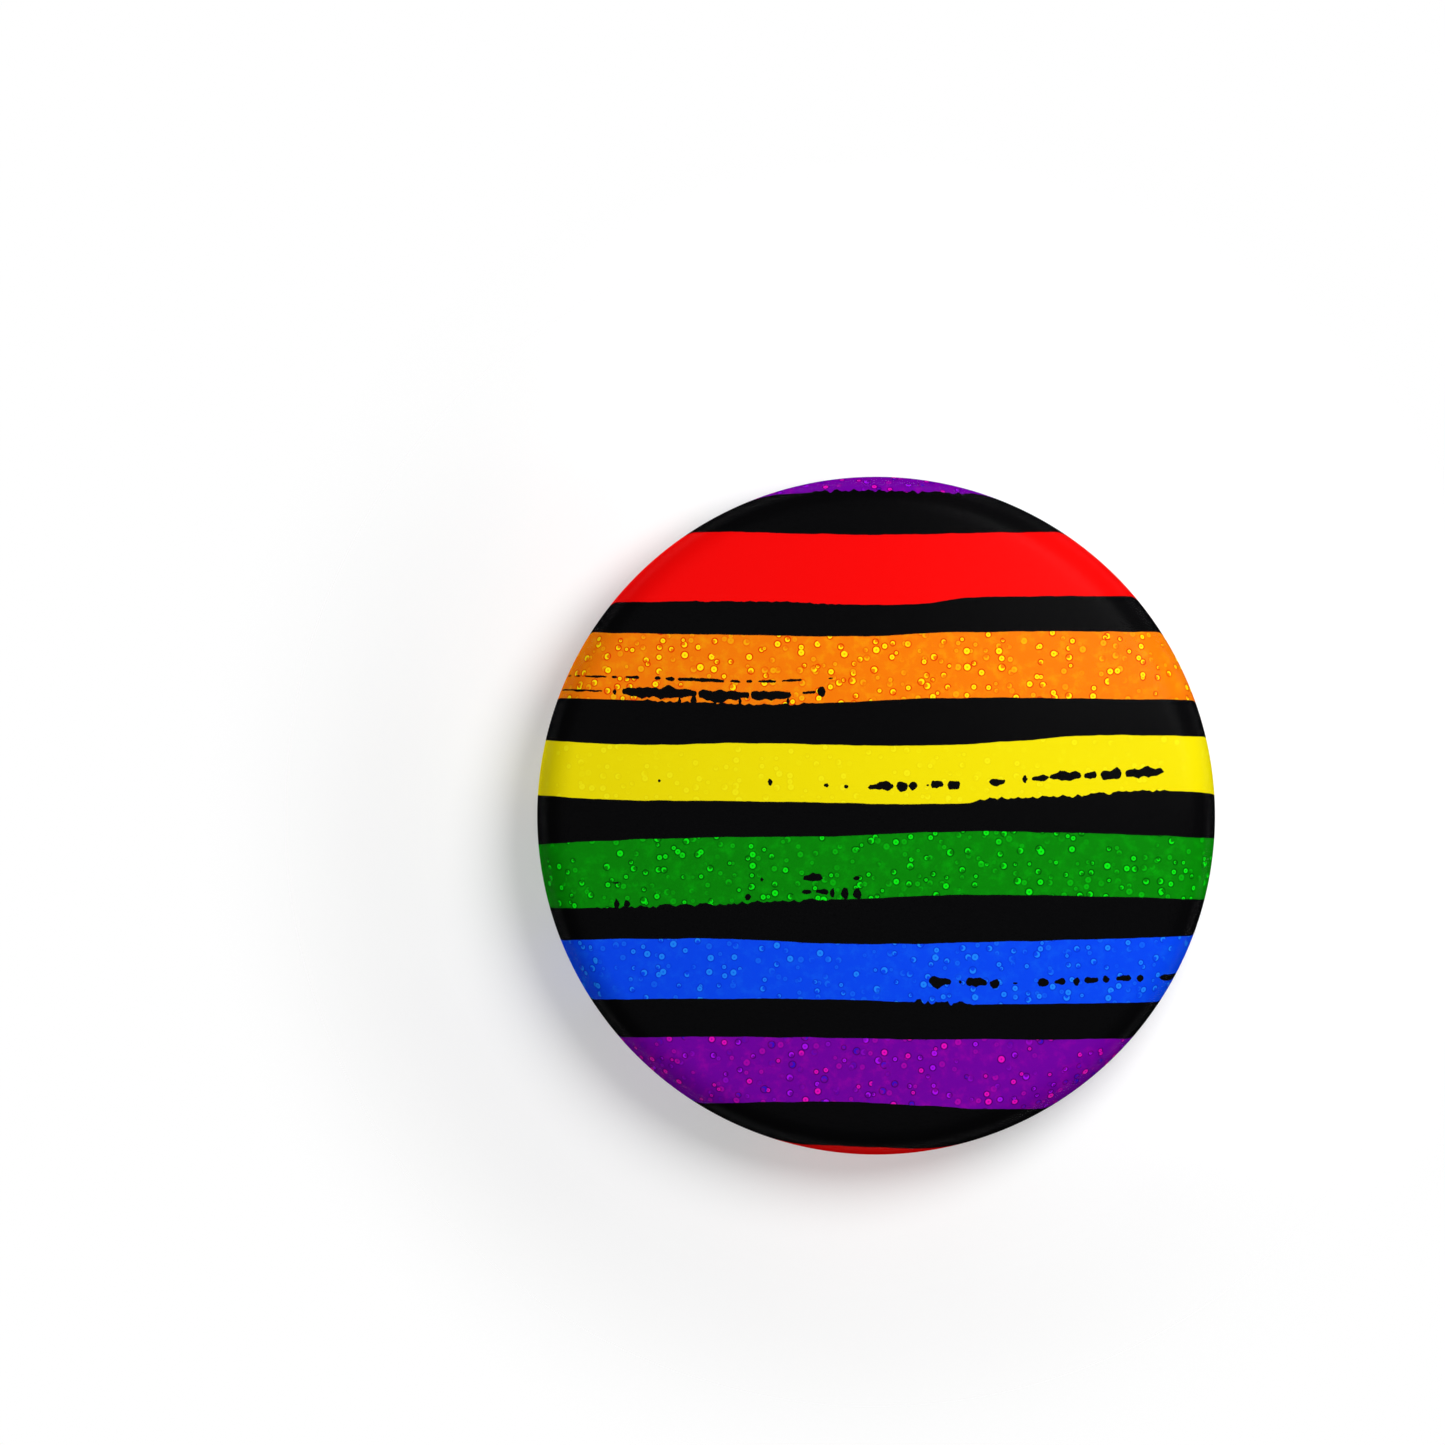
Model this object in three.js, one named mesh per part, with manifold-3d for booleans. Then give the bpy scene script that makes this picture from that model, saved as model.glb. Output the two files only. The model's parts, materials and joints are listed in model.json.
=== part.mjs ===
// A round pinback button badge: a domed tinplate shell wearing a printed paper disc and a clear film,
// a pressed tinplate back crimped into the hem, and one spring wire that is base run, coil, pin arm and catch.
// Millimetres. +Z is up as the badge is worn, the face looks along -Y and the pin side along +Y.
// The origin is on the badge's axis, in the plane of the back plate's rim, where the cloth lies.

import * as THREE from 'three';
import { mergeVertices } from 'three/addons/utils/BufferGeometryUtils.js';
import Module from 'manifold-3d';

const wasm = await Module();
wasm.setup();

// ---- Driving dimensions ----

const BADGE_RADIUS = 22; // a 44 mm badge
const ROUND_STEPS = 40; // facets around the badge's axis
const DOME_STEPS = 5; // facets from the axis out along the dome
const SHOULDER_STEPS = 5;
const CURL_STEPS = 4;
const HEM_STEPS = 3;

// Outer surface of the face, dome to hem
const DOME_RADIUS = 175;
const SHOULDER_RADIUS = 2.6;
const SIDE_WALL = 0.3; // straight side between the shoulder and the curl
const CURL_RADIUS = 0.7; // outer half of the curl to the back
const HEM_RADIUS = 0.5; // inner half of the curl, into the hem
const CURL_BACK_Y = -0.35; // rearmost line of the curl
const HEM_END_Y = -1.5;

// Sheets of the face, from outside in
const FILM = 0.07;
const PAPER = 0.11;
const TIN = 0.22;
const LAYER_GAP = 0.02;

// Back plate
const WALL_RADIUS = 20.72; // outer wall, just inside the hem
const WALL_TOP_Y = -0.5; // the wall rounds into the rim bead from here
const BEAD_SHOULDER = { r: WALL_RADIUS - 0.1, y: -0.3 };
const FLANGE_RADIUS = 21.35; // hidden flange that the hem traps
const FLANGE_Y = -1.6;
const LAND_OUTER = 20.44; // flat land along the crest of the rim bead, at Y 0
const LAND_INNER = 20.2;
const BEAD_VALLEY = { r: 19.95, y: -0.27 }; // groove inside the bead
const BEAD_FOOT = { r: BEAD_VALLEY.r + 0.08, y: BEAD_VALLEY.y + 0.03 };
const CORNER_SHIFT = 0.1; // offset of the hidden side's corners, which keeps the sheet even round a bend
const DISH_EDGE = { r: 19.4, y: -0.12 }; // the sloping ring runs from here
const DISH_FOOT = { r: 12.85, y: -1.1 }; // down to here
const PLATEAU_RADIUS = 12.4; // raised, gently domed middle
const PLATEAU_EDGE_Y = -0.8;
const PLATEAU_TOP_Y = -0.42;
const PLATEAU_SHARES = [1, 0.67, 0.34, 0]; // its rings of points, as shares of its radius

// Oval recesses in the back plate, one for the catch and one for the coil
const RECESS_X = 12.43;
const RECESS_Z = -0.6;
const RECESS_HALF_LENGTH = 4.9;
const RECESS_HALF_WIDTH = 4.0;
const OVAL_STEPS = 28;
const RECESS_OUTER = { x: 17.5, y: -0.53 }; // two points of the sloping floor
const RECESS_INNER = { x: 7.5, y: -1.9 };
const SLOT_TOP_Y = -0.86; // slots stop under the raised middle's sheet
const CORE_Y = -3; // a plane in the hollow between the plate and the shell
const CATCH_SLOT = { x: [7.0, 14.66], z: [-0.05, 1.24] };
const COIL_SLOT = { x: [-15.4, -7.0], z: [-2.1, 1.24] };

// Spring wire
const WIRE_RADIUS = 0.48;
const CATCH_WIRE_RADIUS = 0.55;
const WIRE_SIDES = 10;
const BASE_Z = 0.48;
const ARM_Z = -1.37;
const ARM_Y = 0.35;
const PIVOT_X = -13.0; // where the arm leaves the coil
const ARM_LENGTH = 27.4;
const POINT_LENGTH = 2.2; // tapered stretch at the tip
const POINT_BELLY = { radius: 0.72, length: 0.45 }; // shares of WIRE_RADIUS and POINT_LENGTH, mid taper
const TIP_RADIUS = 0.08;
const COIL_RADIUS = 1.07;
const COIL_TURNS = 1.5;
const COIL_STEPS = 30;
const COIL_END_GAP = 0.52; // room for the arm's round end to turn
const BASE_Y = ARM_Y - 2 * COIL_RADIUS; // base run under the raised middle
const BASE_RISE_X = 6.8; // the base run leaves the raised middle from here
const BASE_RISE_BEND = 0.8;
const CLIMB_START = [12.9, -0.45, BASE_Z]; // straight run that climbs to the catch
const CLIMB_START_BEND = 0.5;
const CLIMB_END = [14.6, 0.15, BASE_Z];
const CLIMB_END_BEND = 0.45;
const CATCH_FROM = 0.5; // the catch's thicker wire starts at this share of the climb
const BASE_UP_TO = 0.7; // and the base run reaches this share, inside it
const CATCH_OUTER_X = 14.9;
const CATCH_INNER_X = 10.2;
const CATCH_TOP_Z = 0.45;
const CATCH_BOTTOM_Z = -4.92;
const CATCH_CORNER = 1.9; // round ends of the catch's closed side
const LEG_BEND = 0.75; // where the catch's legs turn down to the plate
const CATCH_TOP_Y = 1.4; // height of the legs over the arm
const CATCH_BOTTOM_Y = 1.85;
const FREE_END = [CATCH_INNER_X - 0.15, 0.1, CATCH_TOP_Z + 0.1]; // cut end of the wire
const BEND_STEPS = 5;

// Looks
const CLEAR_FILM = { color: 0xf4f6f8, roughness: 0.12, metalness: 0 };
const BLACK_PRINT = { color: 0x0a0a0a, roughness: 0.6, metalness: 0 };
const SHELL_TIN = { color: 0xb9bcc0, roughness: 0.35, metalness: 1 };
const PLATE_TIN = { color: 0xc6c8ca, roughness: 0.3, metalness: 1 };
const WIRE_STEEL = { color: 0xcfd1d3, roughness: 0.25, metalness: 1 };

// ---- Helpers ----

const SAME_POINT = 1e-5; // points closer than this are merged

function arcPoints(centreR, centreY, radius, fromDegrees, toDegrees, steps) {
  // 0 degrees points at the face (-Y), 90 degrees away from the axis (+R).
  return Array.from({ length: steps + 1 }, (_, i) => {
    const angle = THREE.MathUtils.degToRad(fromDegrees + ((toDegrees - fromDegrees) * i) / steps);
    return new THREE.Vector2(centreR + radius * Math.sin(angle), centreY - radius * Math.cos(angle));
  });
}

function onlyPositions(geometry) {
  const bare = geometry.clone();
  bare.deleteAttribute('normal');
  bare.deleteAttribute('uv');
  return mergeVertices(bare, SAME_POINT);
}

function toSolid(geometry) {
  const merged = onlyPositions(geometry);
  return new wasm.Manifold(new wasm.Mesh({
    numProp: 3,
    vertProperties: new Float32Array(merged.attributes.position.array),
    triVerts: new Uint32Array(merged.index.array),
  }));
}

function toGeometry(solid) {
  const { vertProperties, triVerts } = solid.getMesh();
  const geometry = new THREE.BufferGeometry();
  geometry.setAttribute('position', new THREE.BufferAttribute(new Float32Array(vertProperties), 3));
  geometry.setIndex(new THREE.BufferAttribute(new Uint32Array(triVerts), 1));
  geometry.computeVertexNormals();
  return geometry;
}

function turned(outline) {
  // A ring or disc turned about the badge's axis from a closed outline of [radius, y] points.
  return new THREE.LatheGeometry([...outline, outline[0]], ROUND_STEPS);
}

function slab(shapePoints, fromZ, toZ) {
  // A prism along Z with its section in the XY plane.
  const geometry = new THREE.ExtrudeGeometry(new THREE.Shape(shapePoints), {
    depth: toZ - fromZ,
    bevelEnabled: false,
  });
  geometry.translate(0, 0, fromZ);
  return toSolid(geometry);
}

function box(rangeX, rangeY, rangeZ) {
  const geometry = new THREE.BoxGeometry(
    rangeX[1] - rangeX[0],
    rangeY[1] - rangeY[0],
    rangeZ[1] - rangeZ[0],
  );
  geometry.translate(
    (rangeX[0] + rangeX[1]) / 2,
    (rangeY[0] + rangeY[1]) / 2,
    (rangeZ[0] + rangeZ[1]) / 2,
  );
  return toSolid(geometry);
}

// ---- Face: film, paper and shell are parallel sheets of one formed surface ----

const SIDE_BOTTOM_Y = CURL_BACK_Y - CURL_RADIUS;
const SHOULDER_R = BADGE_RADIUS - SHOULDER_RADIUS;
const SHOULDER_Y = SIDE_BOTTOM_Y - SIDE_WALL;
const CURL_R = BADGE_RADIUS - CURL_RADIUS;
// The dome meets the shoulder without a kink: both centres lie on the line through the meeting point.
const DOME_EDGE_ANGLE = THREE.MathUtils.radToDeg(Math.asin(SHOULDER_R / (DOME_RADIUS - SHOULDER_RADIUS)));
const DOME_CENTRE_Y =
  SHOULDER_Y + (DOME_RADIUS - SHOULDER_RADIUS) * Math.cos(THREE.MathUtils.degToRad(DOME_EDGE_ANGLE));

function faceSurface(depth) {
  // The surface that lies depth below the badge's outer surface, from the axis to the end of the hem.
  return [
    ...arcPoints(0, DOME_CENTRE_Y, DOME_RADIUS - depth, 0, DOME_EDGE_ANGLE, DOME_STEPS),
    ...arcPoints(SHOULDER_R, SHOULDER_Y, SHOULDER_RADIUS - depth, DOME_EDGE_ANGLE, 90, SHOULDER_STEPS).slice(1),
    ...arcPoints(CURL_R, SIDE_BOTTOM_Y, CURL_RADIUS - depth, 90, 180, CURL_STEPS),
    ...arcPoints(CURL_R, CURL_BACK_Y - HEM_RADIUS, HEM_RADIUS - depth, 180, 270, HEM_STEPS).slice(1),
    new THREE.Vector2(CURL_R - HEM_RADIUS + depth, HEM_END_Y),
  ];
}

function faceSheet(depth, thickness) {
  return turned([...faceSurface(depth), ...faceSurface(depth + thickness).reverse()]);
}

// ---- Back plate ----

const radial = (r, y) => new THREE.Vector2(r, y);

function plateauPoints(depth) {
  // The raised middle, from its edge to the axis.
  return PLATEAU_SHARES.map((share) => radial(
    PLATEAU_RADIUS * share,
    THREE.MathUtils.lerp(PLATEAU_TOP_Y, PLATEAU_EDGE_Y, share * share) - depth,
  ));
}

function plateRear() {
  // The side that shows, from the hidden flange to the axis.
  return [
    radial(FLANGE_RADIUS, FLANGE_Y),
    radial(WALL_RADIUS, FLANGE_Y),
    radial(WALL_RADIUS, WALL_TOP_Y),
    radial(BEAD_SHOULDER.r, BEAD_SHOULDER.y),
    radial(LAND_OUTER, 0),
    radial(LAND_INNER, 0),
    radial(BEAD_FOOT.r, BEAD_FOOT.y),
    radial(BEAD_VALLEY.r, BEAD_VALLEY.y),
    radial(DISH_EDGE.r, DISH_EDGE.y),
    radial(DISH_FOOT.r, DISH_FOOT.y),
    ...plateauPoints(0),
  ];
}

function plateFront() {
  // The hidden side, from the axis back to the flange.
  const innerWall = WALL_RADIUS - TIN;
  return [
    ...plateauPoints(TIN).reverse(),
    radial(DISH_FOOT.r - CORNER_SHIFT, DISH_FOOT.y - TIN),
    radial(DISH_EDGE.r, DISH_EDGE.y - TIN),
    radial(BEAD_VALLEY.r, BEAD_VALLEY.y - TIN),
    radial(LAND_INNER + CORNER_SHIFT, -TIN),
    radial(innerWall, WALL_TOP_Y - TIN / 2),
    radial(innerWall, FLANGE_Y - TIN),
    radial(FLANGE_RADIUS, FLANGE_Y - TIN),
  ];
}

function recessPrism(side, margin) {
  // An upright oval column through the plate, margin larger than the recess all round.
  const oval = new THREE.Shape().absellipse(
    side * RECESS_X, -RECESS_Z, RECESS_HALF_LENGTH + margin, RECESS_HALF_WIDTH + margin, 0, 2 * Math.PI,
  );
  const geometry = new THREE.ExtrudeGeometry(oval, {
    depth: -2 * CORE_Y,
    bevelEnabled: false,
    curveSegments: OVAL_STEPS,
  });
  geometry.rotateX(-Math.PI / 2);
  geometry.translate(0, CORE_Y, 0);
  return toSolid(geometry);
}

function aboveFloor(side, drop) {
  // Everything behind the recess's sloping floor, lowered by drop.
  const slope = (RECESS_OUTER.y - RECESS_INNER.y) / (RECESS_OUTER.x - RECESS_INNER.x);
  const floorY = (x) => RECESS_INNER.y + slope * (x - RECESS_INNER.x) - drop;
  const [nearX, farX] = [RECESS_X - 2 * RECESS_HALF_WIDTH, RECESS_X + 2 * RECESS_HALF_WIDTH];
  const corners = [[nearX, floorY(nearX)], [farX, floorY(farX)], [farX, -CORE_Y], [nearX, -CORE_Y]];
  const outline = corners.map(([x, y]) => new THREE.Vector2(side * x, y));
  return slab(outline, RECESS_Z - 2 * RECESS_HALF_WIDTH, RECESS_Z + 2 * RECESS_HALF_WIDTH);
}

function backPlate() {
  const core = [radial(0, CORE_Y), radial(FLANGE_RADIUS, CORE_Y)];
  const behindShell = toSolid(turned([...plateRear(), ...core]));
  let plate = toSolid(turned([...plateRear(), ...plateFront()]));
  for (const side of [1, -1]) {
    const cup = recessPrism(side, TIN).intersect(aboveFloor(side, TIN)).intersect(behindShell);
    const hollow = recessPrism(side, 0).intersect(aboveFloor(side, 0));
    plate = plate.add(cup).subtract(hollow);
  }
  for (const slot of [CATCH_SLOT, COIL_SLOT]) {
    plate = plate.subtract(box(slot.x, [CORE_Y, SLOT_TOP_Y], slot.z));
  }
  return toGeometry(plate);
}

// ---- Spring wire ----

class PointPath extends THREE.Curve {
  // A path through given points, with one step from each point to the next.
  constructor(points) {
    super();
    this.points = points;
  }

  getUtoTmapping(u) {
    return u;
  }

  getPoint(t, target = new THREE.Vector3()) {
    const place = THREE.MathUtils.clamp(t, 0, 1) * (this.points.length - 1);
    const i = Math.min(Math.floor(place), this.points.length - 2);
    return target.lerpVectors(this.points[i], this.points[i + 1], place - i);
  }
}

function bendPoints(before, corner, after, bend) {
  // A round bend that leaves the straight runs this far from their corner.
  const towards = corner.clone().sub(before).normalize();
  const away = after.clone().sub(corner).normalize();
  const angle = towards.angleTo(away);
  const axis = towards.clone().cross(away).normalize();
  const entry = corner.clone().addScaledVector(towards, -bend);
  const toCentre = axis.clone().cross(towards).multiplyScalar(bend / Math.tan(angle / 2));
  const centre = entry.clone().add(toCentre);
  return Array.from({ length: BEND_STEPS + 1 }, (_, i) => (
    toCentre.clone().negate().applyAxisAngle(axis, (angle * i) / BEND_STEPS).add(centre)
  ));
}

function roundedPath(corners) {
  // Straight runs joined by bends. Each corner is [x, y, z, bend length], the ends have no bend.
  const spots = corners.map(([x, y, z]) => new THREE.Vector3(x, y, z));
  const bends = spots.slice(1, -1).flatMap((spot, i) => (
    bendPoints(spots[i], spot, spots[i + 2], corners[i + 1][3])
  ));
  return [spots[0], ...bends, spots[spots.length - 1]];
}

function wire(points, radius) {
  const section = new THREE.Shape(
    Array.from({ length: WIRE_SIDES }, (_, i) => {
      const angle = (2 * Math.PI * i) / WIRE_SIDES;
      return new THREE.Vector2(radius * Math.cos(angle), radius * Math.sin(angle));
    }),
  );
  return new THREE.ExtrudeGeometry(section, {
    steps: points.length - 1,
    extrudePath: new PointPath(points),
    bevelEnabled: false,
  });
}

function coilPoints() {
  // From the end of the base run, round the coil, to just short of the arm.
  const centreX = PIVOT_X - COIL_END_GAP;
  const centreY = ARM_Y - COIL_RADIUS;
  return Array.from({ length: COIL_STEPS + 1 }, (_, i) => {
    const share = i / COIL_STEPS;
    const angle = 2 * Math.PI * COIL_TURNS * share;
    const eased = share * share * (3 - 2 * share);
    return new THREE.Vector3(
      centreX - COIL_RADIUS * Math.sin(angle),
      centreY - COIL_RADIUS * Math.cos(angle),
      THREE.MathUtils.lerp(BASE_Z, ARM_Z, eased),
    );
  });
}

function catchAndBase() {
  // The catch loop and the base run overlap along the short straight run that climbs to the catch.
  const onClimb = (share) => CLIMB_START.map((value, i) => THREE.MathUtils.lerp(value, CLIMB_END[i], share));
  const base = roundedPath([
    onClimb(BASE_UP_TO),
    [...CLIMB_START, CLIMB_START_BEND],
    [BASE_RISE_X, BASE_Y, BASE_Z, BASE_RISE_BEND],
    [0, BASE_Y, BASE_Z],
  ]);
  const catchLoop = roundedPath([
    onClimb(CATCH_FROM),
    [...CLIMB_END, CLIMB_END_BEND],
    [CATCH_OUTER_X, CATCH_TOP_Y, CATCH_TOP_Z, LEG_BEND],
    [CATCH_OUTER_X, CATCH_BOTTOM_Y, CATCH_BOTTOM_Z, CATCH_CORNER],
    [CATCH_INNER_X, CATCH_BOTTOM_Y, CATCH_BOTTOM_Z, CATCH_CORNER],
    [CATCH_INNER_X, CATCH_TOP_Y, CATCH_TOP_Z, LEG_BEND],
    FREE_END,
  ]);
  const baseAndCoil = toSolid(wire([...base, ...coilPoints()], WIRE_RADIUS));
  return toGeometry(baseAndCoil.add(toSolid(wire(catchLoop, CATCH_WIRE_RADIUS))));
}

function pinArm() {
  // Straight and round about its own line, with a ball at the pivot and a point at the tip.
  const outline = [
    ...arcPoints(0, 0, WIRE_RADIUS, 0, 90, 3),
    new THREE.Vector2(WIRE_RADIUS, ARM_LENGTH - POINT_LENGTH),
    new THREE.Vector2(WIRE_RADIUS * POINT_BELLY.radius, ARM_LENGTH - POINT_LENGTH * POINT_BELLY.length),
    new THREE.Vector2(TIP_RADIUS, ARM_LENGTH),
    new THREE.Vector2(0, ARM_LENGTH),
  ];
  const geometry = new THREE.LatheGeometry(outline, WIRE_SIDES);
  geometry.rotateZ(-Math.PI / 2);
  return geometry;
}

// ---- Assembly ----

const group = new THREE.Group();

function place(name, geometry, look) {
  const mesh = new THREE.Mesh(geometry, new THREE.MeshStandardMaterial(look));
  mesh.name = name;
  group.add(mesh);
  return mesh;
}

const paperDepth = FILM + LAYER_GAP;
const shellDepth = paperDepth + PAPER + LAYER_GAP;

place('clear_film', faceSheet(0, FILM), CLEAR_FILM);
place('printed_disc', faceSheet(paperDepth, PAPER), BLACK_PRINT);
place('face_shell', faceSheet(shellDepth, TIN), SHELL_TIN);
place('back_plate', backPlate(), PLATE_TIN);
place('catch_wire', catchAndBase(), WIRE_STEEL);
place('pin_arm', pinArm(), WIRE_STEEL).position.set(PIVOT_X, ARM_Y, ARM_Z);

export default group;
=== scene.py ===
"""A 44 mm pinback button badge: striped print under clear film, crimped tin back, one-piece spring wire pin.

Lengths are millimetres. Blender works in metres, so MM scales them where they go into Blender.
"""

import json
import math

import bpy
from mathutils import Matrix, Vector
from mathutils.geometry import delaunay_2d_cdt


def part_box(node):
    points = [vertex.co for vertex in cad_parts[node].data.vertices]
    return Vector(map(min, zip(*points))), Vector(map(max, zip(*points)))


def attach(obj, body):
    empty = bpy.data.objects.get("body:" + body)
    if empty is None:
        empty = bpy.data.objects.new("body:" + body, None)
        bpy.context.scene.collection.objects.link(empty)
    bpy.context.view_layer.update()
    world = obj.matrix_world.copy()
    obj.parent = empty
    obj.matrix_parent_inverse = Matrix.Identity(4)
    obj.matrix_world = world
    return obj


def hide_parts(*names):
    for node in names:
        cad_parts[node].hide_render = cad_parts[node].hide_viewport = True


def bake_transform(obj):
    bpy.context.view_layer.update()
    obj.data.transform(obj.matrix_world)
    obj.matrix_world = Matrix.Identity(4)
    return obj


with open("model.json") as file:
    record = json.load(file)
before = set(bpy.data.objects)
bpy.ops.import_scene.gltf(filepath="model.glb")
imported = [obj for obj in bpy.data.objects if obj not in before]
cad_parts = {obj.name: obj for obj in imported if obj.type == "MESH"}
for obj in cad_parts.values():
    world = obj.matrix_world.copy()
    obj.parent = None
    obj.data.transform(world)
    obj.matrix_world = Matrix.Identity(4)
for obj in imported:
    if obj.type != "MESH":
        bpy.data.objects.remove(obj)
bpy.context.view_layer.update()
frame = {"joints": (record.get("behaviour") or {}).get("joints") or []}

MM = 0.001
ON_AXIS = 1e-6  # closer than this to the badge's axis is on it

# ---- Sizes that repeat the CAD design ----

BADGE_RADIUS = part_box("clear_film")[1].x / MM
DOME_RADIUS = 175.0
SHOULDER_RADIUS = 2.6
SIDE_WALL = 0.3
CURL_RADIUS = 0.7
HEM_RADIUS = 0.5
CURL_BACK_Y = -0.35
HEM_END_Y = -1.5

FILM = 0.07
PAPER = 0.11
TIN = 0.22
LAYER_GAP = 0.02

WALL_RADIUS = 20.72
FLANGE_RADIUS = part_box("back_plate")[1].x / MM
FLANGE_Y = -1.6
DISH_EDGE = (19.4, -0.12)
DISH_FOOT = (12.85, -1.1)
PLATEAU_RADIUS = 12.4
PLATEAU_EDGE_Y = -0.8
PLATEAU_TOP_Y = -0.42

RECESS_X = 12.43
RECESS_Z = -0.6
RECESS_HALF_LENGTH = 4.9
RECESS_HALF_WIDTH = 4.0
RECESS_OUTER = (17.5, -0.53)
RECESS_INNER = (7.5, -1.9)
# Slot on the catch's side (1) and on the coil's side (-1): far end, lower edge, upper edge
SLOTS = {1: (14.66, -0.05, 1.24), -1: (15.4, -2.1, 1.24)}

HINGE = next(joint for joint in frame["joints"] if joint["name"] == "pin_open")
PIVOT = Vector(HINGE["pos_m"]) / MM
TIP_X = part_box("pin_arm")[1].x / MM
POINT_LENGTH = 2.2
WIRE_RADIUS = 0.48
CATCH_WIRE_RADIUS = 0.55
BASE_Z = 0.48
COIL_RADIUS = 1.07
COIL_TURNS = 1.5
COIL_END_GAP = 0.52
BASE_Y = PIVOT.y - 2 * COIL_RADIUS
BASE_RISE_X = 6.8
BASE_RISE_BEND = 0.8
CLIMB_START = Vector((12.9, -0.45, BASE_Z))
CLIMB_START_BEND = 0.5
CLIMB_END = Vector((14.6, 0.15, BASE_Z))
CLIMB_END_BEND = 0.45
CATCH_OUTER_X = 14.9
CATCH_INNER_X = 10.2
CATCH_TOP_Z = 0.45
CATCH_BOTTOM_Z = -4.92
CATCH_TOP_Y = 1.4
CATCH_BOTTOM_Y = 1.85
CATCH_CORNER = 1.9
LEG_BEND = 0.75
FREE_END = Vector((CATCH_INNER_X - 0.15, 0.1, CATCH_TOP_Z + 0.1))
CATCH_BACK_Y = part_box("catch_wire")[1].y / MM

# ---- Mesh fineness ----

AROUND = 256
DOME_STEPS = 26
SHOULDER_STEPS = 18
CURL_STEPS = 12
HEM_STEPS = 9
TUBE_SIDES = 28


# ---- Mesh helpers ----


def make_object(name, vertices, faces, sharp_degrees=40):
    """A smooth-shaded mesh object from points in millimetres."""
    mesh = bpy.data.meshes.new(name)
    mesh.from_pydata([Vector(v) * MM for v in vertices], [], faces)
    mesh.validate()
    mesh.polygons.foreach_set("use_smooth", [True] * len(mesh.polygons))
    mesh.set_sharp_from_angle(angle=math.radians(sharp_degrees))
    obj = bpy.data.objects.new(name, mesh)
    bpy.context.scene.collection.objects.link(obj)
    return obj


def arc(centre_r, centre_y, radius, from_degrees, to_degrees, steps):
    """Points of an arc in the (radius, y) plane: 0 degrees points at the face, 90 away from the axis."""
    points = []
    for i in range(steps + 1):
        angle = math.radians(from_degrees + (to_degrees - from_degrees) * i / steps)
        points.append((centre_r + radius * math.sin(angle), centre_y - radius * math.cos(angle)))
    return points


def catmull_rom(a, b, c, d, t):
    """The value at t between b (0) and c (1) of the smooth curve through a, b, c and d."""
    linear = (c - a) * t
    square = (2 * a - 5 * b + 4 * c - d) * t**2
    cubic = (3 * b - a - 3 * c + d) * t**3
    return 0.5 * (2 * b + linear + square + cubic)


def smooth_line(points, per_step):
    """A Catmull-Rom curve through (radius, y) points."""
    padded = [points[0], *points, points[-1]]
    line = []
    for corners in zip(padded, padded[1:], padded[2:], padded[3:]):
        for k in range(per_step):
            line.append(tuple(catmull_rom(*values, k / per_step) for values in zip(*corners)))
    line.append(points[-1])
    return line


def turn(outline, closed):
    """Vertices and faces of an outline of (radius, y) points turned about the badge's axis."""
    vertices = []
    rows = []
    for r, y in outline:
        if r < ON_AXIS:
            rows.append([len(vertices)] * AROUND)
            vertices.append((0, y, 0))
            continue
        rows.append(list(range(len(vertices), len(vertices) + AROUND)))
        for k in range(AROUND):
            angle = 2 * math.pi * k / AROUND
            vertices.append((r * math.sin(angle), y, r * math.cos(angle)))
    faces = []
    pairs = list(zip(rows, rows[1:]))
    if closed:
        pairs.append((rows[-1], rows[0]))
    for row, following in pairs:
        for k in range(AROUND):
            corners = [row[k], row[(k + 1) % AROUND], following[(k + 1) % AROUND], following[k]]
            face = list(dict.fromkeys(corners))
            if len(face) > 2:
                faces.append(face)
    return vertices, faces


def tube(name, points, radii, round_start=True, round_end=True):
    """A closed round wire along points, as thick at each point as radii say."""
    tangents = []
    for i in range(len(points)):
        tangents.append((points[min(i + 1, len(points) - 1)] - points[max(i - 1, 0)]).normalized())
    normal = tangents[0].orthogonal().normalized()
    rings = []
    for i, (point, tangent) in enumerate(zip(points, tangents)):
        if i:
            normal = (tangents[i - 1].rotation_difference(tangent) @ normal).normalized()
        rings.append((point, tangent, normal, radii[i]))
    if round_start:
        rings = round_cap(rings[0], -1)[::-1] + rings
    if round_end:
        rings = rings + round_cap(rings[-1], 1)
    vertices = []
    for point, tangent, normal, radius in rings:
        side = tangent.cross(normal)
        for k in range(TUBE_SIDES):
            angle = 2 * math.pi * k / TUBE_SIDES
            vertices.append(point + radius * (normal * math.cos(angle) + side * math.sin(angle)))
    faces = []
    for i in range(len(rings) - 1):
        for k in range(TUBE_SIDES):
            following = (k + 1) % TUBE_SIDES
            a, b = i * TUBE_SIDES, (i + 1) * TUBE_SIDES
            faces.append([a + k, a + following, b + following, b + k])
    last = (len(rings) - 1) * TUBE_SIDES
    faces.append(list(range(TUBE_SIDES))[::-1])
    faces.append(list(range(last, last + TUBE_SIDES)))
    return make_object(name, vertices, faces)


CAP_STEPS = 5
CAP_ARC = 0.46 * math.pi  # short of a quarter turn, so a small flat is left in the middle
CAP_DEPTH = 0.35  # share of the wire's radius


def round_cap(ring, direction):
    """Rings that round off a wire's end: a shallow dome, as cut and tumbled wire has."""
    point, tangent, normal, radius = ring
    cap = []
    for i in range(1, CAP_STEPS + 1):
        angle = CAP_ARC * i / CAP_STEPS
        along = direction * radius * CAP_DEPTH * math.sin(angle)
        cap.append((point + tangent * along, tangent, normal, radius * math.cos(angle)))
    return cap


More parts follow.
